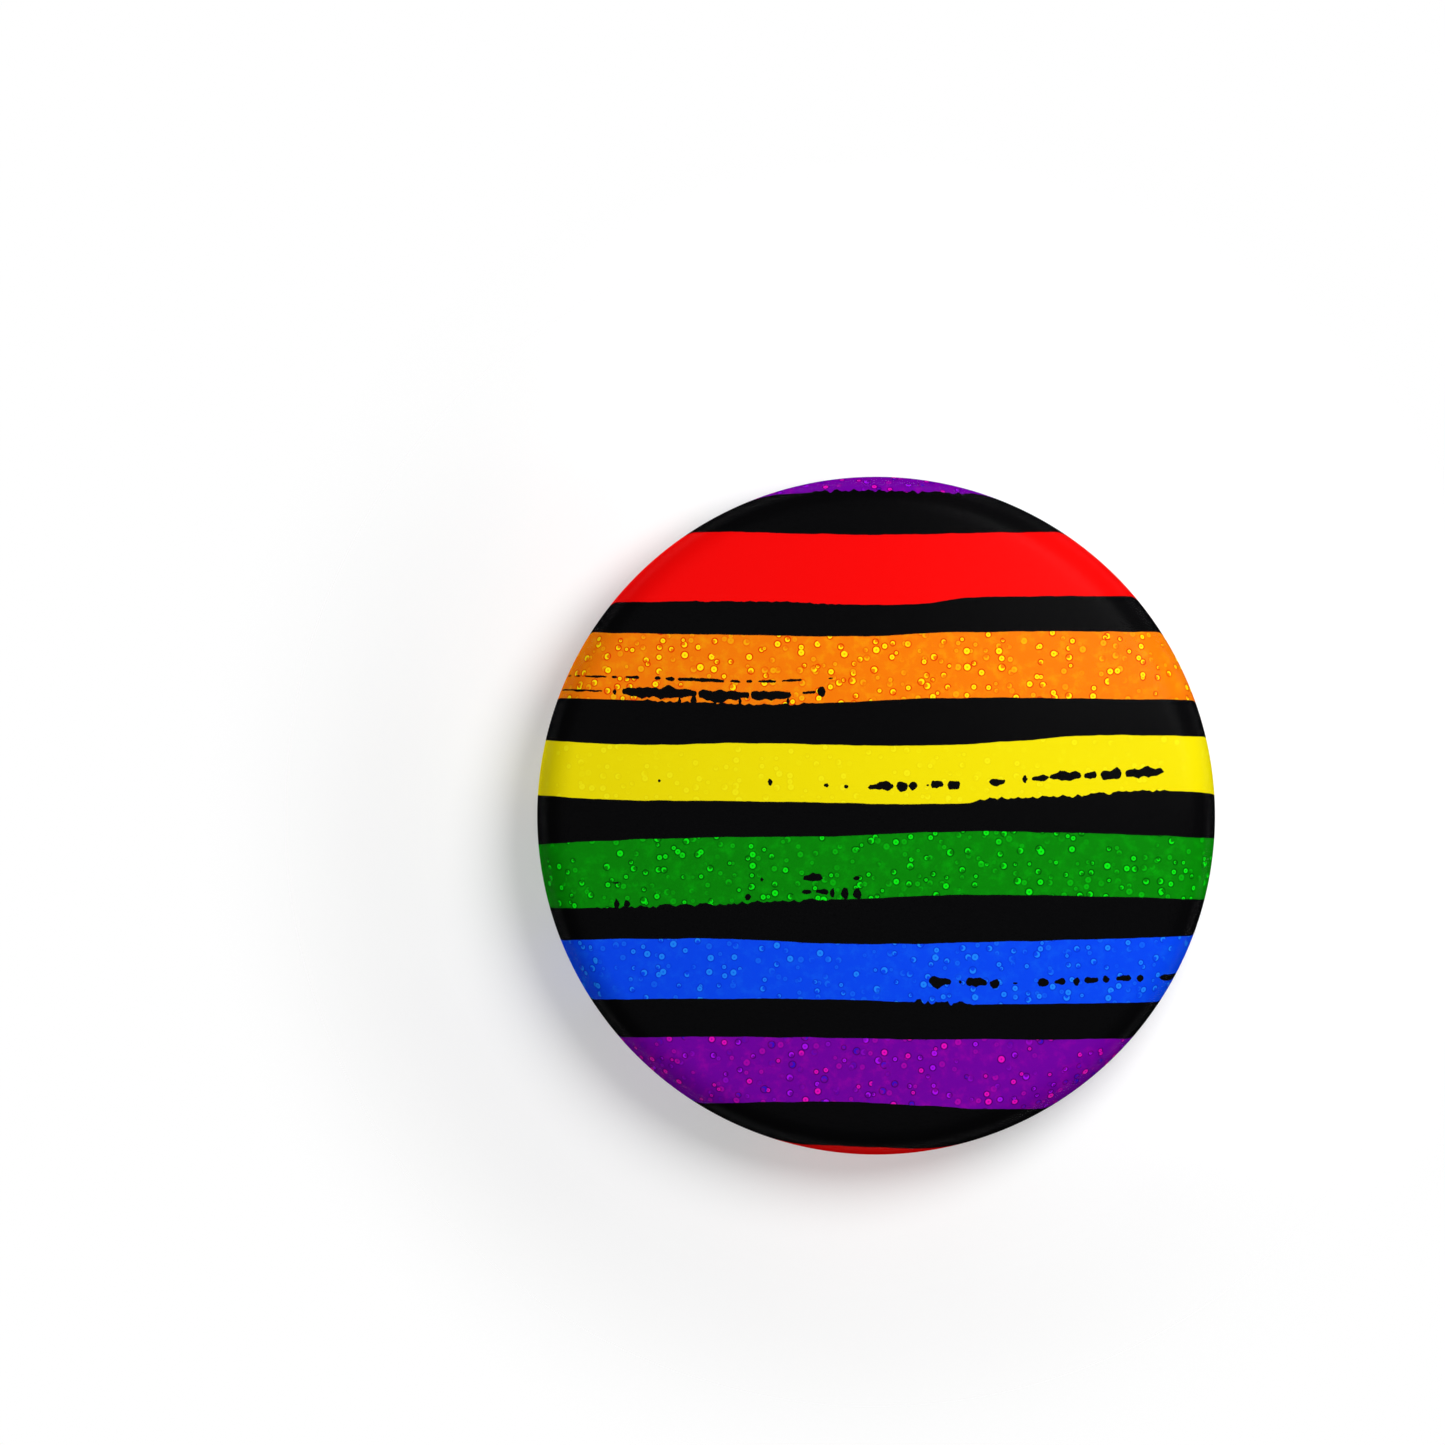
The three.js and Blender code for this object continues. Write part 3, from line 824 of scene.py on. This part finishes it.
# Base colour, glitter colour, glitter outline, how strongly the glitter shows
INKS = {
    "red": (srgb(240, 8, 8), srgb(246, 20, 16), srgb(232, 4, 4), 0.0),
    "orange": (srgb(240, 120, 8), srgb(255, 232, 12), srgb(222, 56, 0), 1.0),
    "yellow": (srgb(235, 218, 6), srgb(248, 242, 28), srgb(228, 208, 6), 0.45),
    "green": (srgb(8, 128, 8), srgb(12, 246, 22), srgb(2, 78, 4), 0.85),
    "blue": (srgb(8, 70, 238), srgb(34, 150, 255), srgb(4, 50, 210), 0.7),
    "purple": (srgb(112, 2, 160), srgb(246, 12, 190), srgb(76, 0, 112), 0.9),
}
# Purple also holds violet and deep blue flakes
VIOLET_GLITTER = srgb(176, 16, 250)
DEEP_BLUE_GLITTER = srgb(40, 12, 200)
VIOLET_FROM = 0.4  # flakes whose random number is over this are violet
DEEP_BLUE_FROM = 0.75

# Glitter: two layers of flakes, as (pitch, shift that makes the layer differ)
GLITTER_LAYERS = [(0.85, 3.7), (1.15, 11.3)]
FLAKE_RADIUS = 0.11
FLAKE_EXTRA = 0.11  # the largest flakes are this much larger
FLAKE_SOFTNESS = (-0.01, 0.04)
OUTLINE_SOFTNESS = (-0.09, -0.05)
DULL_CENTRE = (0.03, 0.09, 0.35)  # flakes are this dull inside the first radius, and bright beyond the second
CRESCENT_BITE = -1.1
FAINT_LEVEL = 0.33
CLOUDING = 0.16


def line_curve(nodes, x, points):
    """Height in millimetres at x of a smooth line through (x, z) points."""
    left, right = points[0][0], points[-1][0]
    heights = [z for _, z in points]
    low, high = min(heights) - 0.5, max(heights) + 0.5
    width, height = right - left, high - low
    shares = [((px - left) / width, (z - low) / height) for px, z in points]
    curve = nodes.curve(nodes.share(x, left, right), shares)
    return nodes.math("MULTIPLY_ADD", curve, height, low)


def gap_reach(nodes, x, gaps, column):
    """How far in millimetres a row of gaps reaches at x. The column is ABOVE or BELOW."""
    left, right = gaps[0][0] - GAP_MARGIN, gaps[-1][1] + GAP_MARGIN
    tallest = max(gap[column] for gap in gaps)
    points = [(left, 0.0)]
    for gap in gaps:
        start, end, *_, thickest = gap
        length = end - start
        level = gap[column] / tallest
        points += [
            (start, 0.0),
            (start + BLUNT_END, 0.5 * level),
            (start + length * max(0.15, thickest - 0.2), 0.95 * level),
            (start + length * min(0.85, thickest + 0.2), level),
            (end - BLUNT_END, 0.5 * level),
            (end, 0.0),
        ]
    points.append((right, 0.0))
    mapped = [((px - left) / (right - left), py) for px, py in points]
    reach = nodes.curve(nodes.share(x, left, right), mapped, handle="VECTOR")
    return nodes.times(reach, tallest)


def dry_brush_mask(nodes, x, z, rows):
    """1 where a dry-brush gap lets the black through."""
    torn = nodes.cells(nodes.vector(x, z), 1.5).outputs["Distance"]
    growth = nodes.math("MULTIPLY_ADD", torn, 1.1, 0.7)
    mask = None
    for centre_line, gaps in rows:
        height = nodes.minus(z, line_curve(nodes, x, centre_line))
        above = nodes.math("MULTIPLY_ADD", gap_reach(nodes, x, gaps, ABOVE), growth, LEAST_REACH)
        below = nodes.math("MULTIPLY_ADD", gap_reach(nodes, x, gaps, BELOW), growth, LEAST_REACH)
        under_top = nodes.step(nodes.minus(above, height), *GAP_SOFTNESS)
        over_bottom = nodes.step(nodes.plus(below, height), *GAP_SOFTNESS)
        in_gap = nodes.math("GREATER_THAN", above, GAP_THRESHOLD)
        inside = nodes.times(nodes.times(under_top, over_bottom), in_gap)
        mask = inside if mask is None else nodes.math("MAXIMUM", mask, inside)
    return mask


def glitter(nodes, x, z, pitch, seed):
    """Round flakes of glitter: how bright each point is, its outline, and a random number for its flake."""
    place = nodes.vector(nodes.plus(x, seed), nodes.plus(z, 2 * seed))
    cells = nodes.cells(place, 1 / pitch)
    chance, size, pick = nodes.add("ShaderNodeSeparateColor", {"Color": cells.outputs["Color"]}).outputs
    distance = nodes.times(cells.outputs["Distance"], pitch)
    radius = nodes.math("MULTIPLY_ADD", size, FLAKE_EXTRA, FLAKE_RADIUS)
    depth = nodes.minus(radius, distance)
    flake = nodes.step(depth, *FLAKE_SOFTNESS)
    around = nodes.step(depth, *OUTLINE_SOFTNESS)
    outline = nodes.times(around, nodes.minus(1.0, flake))
    centre = nodes.step(distance, *DULL_CENTRE)
    # Some flakes are crescents: a disc bitten by another disc, turned at random
    local = nodes.add("ShaderNodeVectorMath", operation="SUBTRACT")
    nodes.put(local.inputs[0], place)
    nodes.put(local.inputs[1], cells.outputs["Position"])
    offset = nodes.add("ShaderNodeSeparateXYZ", {"Vector": local.outputs[0]}).outputs
    turned = nodes.times(pick, 12 * math.pi)
    across = nodes.times(offset[0], nodes.math("COSINE", turned))
    along = nodes.times(offset[1], nodes.math("SINE", turned))
    toward = nodes.times(nodes.plus(across, along), radius)
    bite = nodes.math("MULTIPLY_ADD", toward, CRESCENT_BITE, nodes.times(distance, distance))
    crescent = nodes.step(nodes.math("DIVIDE", bite, nodes.times(radius, radius)), 0.0, 0.35)
    whole = nodes.math("LESS_THAN", pick, 0.5)
    shape = nodes.times(centre, nodes.math("MAXIMUM", crescent, whole))
    # Flakes crowd together in some places and are rare in others
    cluster = nodes.noise(nodes.vector(x, z, seed), 0.22, 2.0, 0.6)
    likely = nodes.math("MULTIPLY_ADD", cluster, 0.9, nodes.minus(chance, 0.45))
    strong = nodes.step(likely, 0.6, 0.66)
    faint = nodes.times(nodes.step(likely, 0.2, 0.5), FAINT_LEVEL)
    level = nodes.math("MAXIMUM", strong, faint)
    bright = nodes.times(nodes.times(flake, shape), level)
    return bright, nodes.times(outline, level), pick


def sheet_stretch(nodes, x, y, z):
    """How much further from its middle a point lies on the flat sheet than on the badge."""
    share = nodes.curve(nodes.share(y, *WRAP_RANGE), WRAP_LENGTH, "VECTOR")
    unrolled = nodes.times(share, WRAP_EXTRA)
    radius = nodes.math("MAXIMUM", nodes.distance(x, z), 1.0)
    return nodes.plus(1.0, nodes.math("DIVIDE", unrolled, radius))


def all_glitter(nodes, x, z):
    """Both layers of glitter: brightness, outline and the random number of the brighter flake."""
    first, second = [glitter(nodes, x, z, pitch, seed) for pitch, seed in GLITTER_LAYERS]
    second_wins = nodes.minus(second[0], first[0])
    pick = nodes.step(second_wins, -0.01, 0.01, first[2], second[2])
    bright = nodes.math("MAXIMUM", first[0], second[0])
    edge = nodes.math("MAXIMUM", first[1], second[1])
    return bright, edge, pick


def stripe_mask(nodes, x, z, stripe, tear, wobble, torn):
    """1 on a stripe, between its upper and lower edge, which wander and are torn in places."""
    _, upper, lower = stripe
    depth, tear_from, tear_to = tear
    tear_window = nodes.times(
        nodes.step(x, tear_from - 0.4, tear_from + 0.4),
        nodes.step(x, tear_to - 0.8, tear_to + 0.8, 1.0, 0.0),
    )
    worn = nodes.times(nodes.math("MULTIPLY_ADD", torn, depth, -0.3 * depth), tear_window)
    drift = nodes.math("MULTIPLY_ADD", wobble, EDGE_DRIFT, -EDGE_DRIFT / 2)
    top = nodes.plus(line_curve(nodes, x, upper), drift)
    bottom = nodes.plus(nodes.plus(line_curve(nodes, x, lower), drift), worn)
    below_top = nodes.step(nodes.minus(top, z), 0.0, EDGE_SOFTNESS)
    above_bottom = nodes.step(nodes.minus(z, bottom), 0.0, EDGE_SOFTNESS)
    return nodes.times(below_top, above_bottom)


def ink_colour(nodes, ink, flakes, mottle):
    """An ink with its glitter: flakes are brightness, outline and random number, mottle clouds it."""
    base, shine, outline, strength = INKS[ink]
    bright, edge, pick = flakes
    sparkle = shine
    if ink == "purple":
        sparkle = nodes.blend(nodes.math("GREATER_THAN", pick, VIOLET_FROM), shine, VIOLET_GLITTER)
        sparkle = nodes.blend(nodes.math("GREATER_THAN", pick, DEEP_BLUE_FROM), sparkle, DEEP_BLUE_GLITTER)
    colour = nodes.blend(nodes.times(edge, strength), base, outline)
    colour = nodes.blend(nodes.times(bright, strength), colour, sparkle)
    clouded = nodes.times(nodes.step(mottle, 0.45, 0.75), CLOUDING * strength)
    return nodes.blend(clouded, colour, shine)


def print_material():
    """Brushed rainbow stripes with glitter on black, printed on coated paper."""
    material = bpy.data.materials.new("striped_print")
    nodes = Nodes(material)
    place, x, y, z = nodes.position()
    # The sheet wraps to the back, so the print there is from further out.
    stretch = sheet_stretch(nodes, x, y, z)
    sheet_x = nodes.times(x, stretch)
    sheet_z = nodes.times(z, stretch)
    flakes = all_glitter(nodes, sheet_x, sheet_z)

    draw_in = nodes.step(y, *DRAW_IN_RANGE, 1.0, DRAW_IN)
    x = nodes.times(x, draw_in)
    z = nodes.times(z, draw_in)
    flat = nodes.vector(x, z)
    wobble = nodes.noise(flat, 0.45, 3.0, 0.6)
    jitter = nodes.noise(flat, 1.9, 3.0, 0.7)
    mottle = nodes.noise(flat, 1.2, 4.0, 0.65)
    torn = nodes.cells(flat, 2.1).outputs["Distance"]

    marked_z = nodes.plus(z, nodes.math("MULTIPLY_ADD", jitter, MARK_JITTER, -MARK_JITTER / 2))
    on_back = nodes.step(y, *BACK_RANGE)
    back_gaps = nodes.times(dry_brush_mask(nodes, x, marked_z, BACK_DRY_BRUSH), on_back)
    gaps = nodes.math("MAXIMUM", dry_brush_mask(nodes, x, marked_z, DRY_BRUSH), back_gaps)
    covered = nodes.minus(1.0, gaps)

    colour = PRINT_BLACK
    for stripe, tear in zip(STRIPES, TORN_EDGES):
        mask = nodes.times(stripe_mask(nodes, x, z, stripe, tear, wobble, torn), covered)
        colour = nodes.blend(mask, colour, ink_colour(nodes, stripe[0], flakes, mottle))

    fibre = nodes.noise(place, 9.0, 3.0, 0.6)
    shader = nodes.add("ShaderNodeBsdfPrincipled", {
        "Base Color": colour,
        "Roughness": nodes.step(fibre, 0.3, 0.7, 0.5, 0.6),
        "Specular IOR Level": 0.0,
    })
    nodes.output(shader.outputs[0])
    return material


FILM_GLOSS = 0.016  # share of light that the film mirrors where it is seen straight on
FILM_FALLOFF = 2.5  # how fast that share fades as the film turns away


def film_material():
    """Clear film with a soft coating: it shows what is under it and mirrors a little."""
    material = bpy.data.materials.new("clear_film")
    nodes = Nodes(material)
    place, *_ = nodes.position()
    ripple = nodes.noise(place, 0.22, 2.0, 0.5)
    haze = nodes.noise(place, 1.6, 4.0, 0.6)
    normal = nodes.bump(ripple, 0.03, 0.35)
    mirror = nodes.add("ShaderNodeBsdfGlossy", {
        "Color": WHITE,
        "Roughness": nodes.step(haze, 0.35, 0.75, 0.09, 0.17),
        "Normal": normal,
    })
    turned_away = nodes.add("ShaderNodeLayerWeight", {"Blend": 0.5, "Normal": normal}).outputs["Facing"]
    faced = nodes.minus(1.0, turned_away)
    gloss = nodes.times(nodes.math("POWER", faced, FILM_FALLOFF), FILM_GLOSS)
    # The film is a thin sheet: only its outer side mirrors
    outside = nodes.minus(1.0, nodes.backfacing())
    share = nodes.times(gloss, outside)
    nodes.output(nodes.mix_shaders(share, nodes.clear(), mirror.outputs[0]))
    return material


STREAKS = (0.6, 12.0)  # the brushing's fineness along x and across it
BROAD_STREAKS = (0.06, 2.2)
LIGHT_STREAK = 1.08  # tone of the lightest and the darkest streaks
DARK_STREAK = 0.9


def brushed_metal(name, tone, smooth_rim):
    """Tinplate brushed across the badge, left to right. The rim bead is polished by the press tool."""
    material = bpy.data.materials.new(name)
    nodes = Nodes(material)
    _, x, _, z = nodes.position()

    def stretched(fineness):
        along, across = fineness
        return nodes.vector(nodes.times(x, along), nodes.times(z, across))

    streaks = nodes.noise(stretched(STREAKS), 1.0, 5.0, 0.62)
    broad = nodes.noise(stretched(BROAD_STREAKS), 1.0, 2.0, 0.5)
    grain = nodes.plus(nodes.times(streaks, 0.75), nodes.times(broad, 0.25))
    brushed = 1.0
    if smooth_rim:
        brushed = nodes.step(nodes.distance(x, z), DISH_EDGE[0] - 0.15, DISH_EDGE[0] + 0.1, 1.0, 0.0)
    depth = nodes.times(nodes.minus(grain, 0.5), brushed)
    light = (*(min(1.0, channel * LIGHT_STREAK) for channel in tone[:3]), 1.0)
    dark = (*(channel * DARK_STREAK for channel in tone[:3]), 1.0)
    colour = nodes.blend(nodes.step(depth, -0.16, 0.16), dark, light)
    polished = nodes.step(streaks, 0.3, 0.7, 0.19, 0.24)
    roughness = nodes.plus(polished, nodes.times(brushed, 0.1))
    shader = nodes.add("ShaderNodeBsdfPrincipled", {
        "Base Color": colour,
        "Metallic": 1.0,
        "Roughness": roughness,
        "Normal": nodes.bump(depth, 0.22, 0.012),
    })
    nodes.output(shader.outputs[0])
    return material


def wire_material():
    """Bright plated spring wire with faint drawing marks."""
    material = bpy.data.materials.new("plated_wire")
    nodes = Nodes(material)
    place, *_ = nodes.position()
    marks = nodes.noise(place, 1.5, 3.0, 0.6)
    spots = nodes.noise(place, 0.8, 2.0, 0.5)
    colour = nodes.blend(nodes.step(spots, 0.35, 0.7), srgb(222, 223, 224), srgb(234, 235, 236))
    shader = nodes.add("ShaderNodeBsdfPrincipled", {
        "Base Color": colour,
        "Metallic": 1.0,
        "Roughness": nodes.step(marks, 0.3, 0.7, 0.27, 0.34),
        "Normal": nodes.bump(marks, 0.05, 0.01),
    })
    nodes.output(shader.outputs[0])
    return material


def finish_piece(obj, material):
    obj.data.materials.clear()
    obj.data.materials.append(material)


# ---- Stage, light and camera ----


SURFACE_HALF = 50.0
SURFACE_GAP = 0.05  # between the catch and the surface
SURFACE_FADE = (28, 44)  # distances from the badge's axis between which the surface fades out
SURFACE_GLOW = 0.22  # a little light of its own keeps it white to the edge and the shadow soft
DARKER_WHITE = (0.79, 0.79, 0.79, 1)
LIGHTER_WHITE = (0.81, 0.81, 0.81, 1)
EDGE_ON = (0.75, 0.9)  # how far it turns from the camera before it fades out, where 1 is seen edge-on


def surface_behind():
    """The white surface behind the badge, seen only from its face side. It fades out away from the badge."""
    material = bpy.data.materials.new("white_surface")
    nodes = Nodes(material)
    place, x, _, z = nodes.position()
    speckle = nodes.step(nodes.noise(place, 0.05, 2.0, 0.5), 0.3, 0.7)
    white = nodes.add("ShaderNodeBsdfDiffuse", {
        "Color": nodes.blend(speckle, DARKER_WHITE, LIGHTER_WHITE),
    })
    glow = nodes.add("ShaderNodeEmission", {"Color": WHITE, "Strength": SURFACE_GLOW})
    lifted = nodes.add("ShaderNodeAddShader")
    nodes.put(lifted.inputs[0], white.outputs[0])
    nodes.put(lifted.inputs[1], glow.outputs[0])
    far = nodes.step(nodes.distance(x, z), *SURFACE_FADE)
    turned = nodes.add("ShaderNodeLayerWeight", {"Blend": 0.5}).outputs["Facing"]
    far_or_behind = nodes.math("MAXIMUM", far, nodes.backfacing())
    hidden = nodes.math("MAXIMUM", far_or_behind, nodes.step(turned, *EDGE_ON))
    nodes.output(nodes.mix_shaders(hidden, lifted.outputs[0], nodes.clear()))
    half = SURFACE_HALF
    y = CATCH_BACK_Y + SURFACE_GAP
    corners = [(-half, y, -half), (half, y, -half), (half, y, half), (-half, y, half)]
    surface = make_object("white_surface", corners, [[0, 1, 2, 3]])
    surface.data.materials.append(material)
    surface.visible_diffuse = False
    surface.visible_glossy = False
    surface.visible_transmission = False
    surface.visible_shadow = False
    return surface


def soft_light(name, direction, distance, size, power):
    """A round soft box that faces the badge. It lights surfaces but isn't seen or mirrored itself."""
    data = bpy.data.lights.new(name, "AREA")
    data.shape = "DISK"
    data.size = size * MM
    data.energy = power
    lamp = bpy.data.objects.new(name, data)
    bpy.context.scene.collection.objects.link(lamp)
    away = Vector(direction).normalized()
    lamp.location = away * distance * MM
    lamp.rotation_mode = "QUATERNION"
    lamp.rotation_quaternion = (-away).to_track_quat("-Z", "Y")
    lamp.visible_glossy = False
    lamp.visible_camera = False
    return lamp


AMBIENT = 0.33  # even light on matt surfaces
BEHIND = 1.35  # brightness mirrored behind the badge, and in the patch there
PATCH = 0.2
PATCH_DIRECTION = Vector((0.3, 0.88, -0.36)).normalized()
PATCH_EDGE = (0.7, 0.99)  # cosines of the angles from it where the patch begins and is deepest
FRONT = 0.07  # brightness mirrored in front of the badge, and of the glow high on the right there
FRONT_GLOW = 0.45
FRONT_SIDE = 0.25  # both are dimmed to this share towards the sides


def studio_world():
    """White to look at, dim in front of the face, and bright behind the back."""
    world = bpy.data.worlds.new("studio")
    bpy.context.scene.world = world
    nodes = Nodes(world)
    direction = nodes.add("ShaderNodeTexCoord").outputs["Generated"]
    x, y, z = nodes.add("ShaderNodeSeparateXYZ", {"Vector": direction}).outputs
    # Behind the badge all is bright except a soft dark patch, low on the side of the catch
    patch = nodes.add("ShaderNodeVectorMath", operation="DOT_PRODUCT")
    nodes.put(patch.inputs[0], direction)
    nodes.put(patch.inputs[1], PATCH_DIRECTION)
    behind = nodes.step(patch.outputs["Value"], *PATCH_EDGE, BEHIND, PATCH)
    # In front a soft glow, high on the right, and near darkness round it
    upper_right = nodes.times(nodes.step(x, 0.0, 0.3), nodes.step(z, -0.05, 0.2))
    glow = nodes.math("MULTIPLY_ADD", upper_right, FRONT_GLOW, FRONT)
    in_front = nodes.times(glow, nodes.step(y, -0.8, -0.5, 1.0, FRONT_SIDE))
    side = nodes.step(y, -0.1, 0.45)
    strength = nodes.plus(
        nodes.times(side, behind),
        nodes.times(nodes.minus(1.0, side), in_front),
    )
    path = nodes.add("ShaderNodeLightPath").outputs
    soft = nodes.add("ShaderNodeMix", {"Factor": path["Is Diffuse Ray"]}, data_type="FLOAT")
    nodes.put(soft.inputs[2], strength)
    nodes.put(soft.inputs[3], AMBIENT)
    lit = nodes.add("ShaderNodeBackground", {"Color": WHITE, "Strength": soft.outputs[0]})
    seen = nodes.add("ShaderNodeBackground", {"Color": WHITE, "Strength": 1.0})
    mixed = nodes.mix_shaders(path["Is Camera Ray"], lit.outputs[0], seen.outputs[0])
    nodes.add("ShaderNodeOutputWorld", {"Surface": mixed})


# Name, direction from the badge, distance, width and power
LAMPS = [
    ("face_key", (0.5, -1.0, 0.42), 143, 90, 0.17),
    ("face_fill", (0.0, -1.0, 0.1), 500, 500, 0.22),
    ("back_key", (-0.5, 0.75, 0.6), 400, 240, 1.2),
]

# Shares of the picture's width: the badge's width, and how far its centre is from the picture's centre
BADGE_SHARE = 0.4706
CENTRE_RIGHT = 0.1062
CENTRE_DOWN = 0.0644
LENS = 500
SENSOR_WIDTH = 36
CLIP_RANGE = (0.01, 10)  # metres


def camera():
    """A long lens that looks straight at the face, with the badge right of centre and a little low."""
    frame_width = 2 * BADGE_RADIUS / BADGE_SHARE
    offset_right = CENTRE_RIGHT * frame_width
    offset_down = CENTRE_DOWN * frame_width
    data = bpy.data.cameras.new("camera")
    data.lens = LENS
    data.sensor_width = SENSOR_WIDTH
    cam = bpy.data.objects.new("camera", data)
    bpy.context.scene.collection.objects.link(cam)
    distance = frame_width * LENS / SENSOR_WIDTH
    cam.location = Vector((-offset_right, -distance, offset_down)) * MM
    cam.rotation_euler = (math.radians(90), 0, 0)
    data.clip_start, data.clip_end = CLIP_RANGE
    bpy.context.scene.camera = cam


# ---- Assembly ----

film = face_sheet("clear_film_sheet", "clear_film", 0, FILM)
printed = face_sheet("printed_paper", "printed_disc", FILM + LAYER_GAP, PAPER)
shell = face_sheet("face_shell_tin", "face_shell", FILM + PAPER + 2 * LAYER_GAP, TIN)
plate = back_plate()
catch = catch_and_coil()
arm = pin_arm()

SHELL_TONE = srgb(120, 122, 125)
PLATE_TONE = srgb(224, 224, 225)

wire_finish = wire_material()
finish_piece(film, film_material())
finish_piece(printed, print_material())
finish_piece(shell, brushed_metal("shell_tin", SHELL_TONE, smooth_rim=False))
finish_piece(plate, brushed_metal("plate_tin", PLATE_TONE, smooth_rim=True))
finish_piece(catch, wire_finish)
finish_piece(arm, wire_finish)

surface_behind()
studio_world()
for lamp_settings in LAMPS:
    soft_light(*lamp_settings)
camera()
bpy.context.scene.view_settings.view_transform = "Standard"
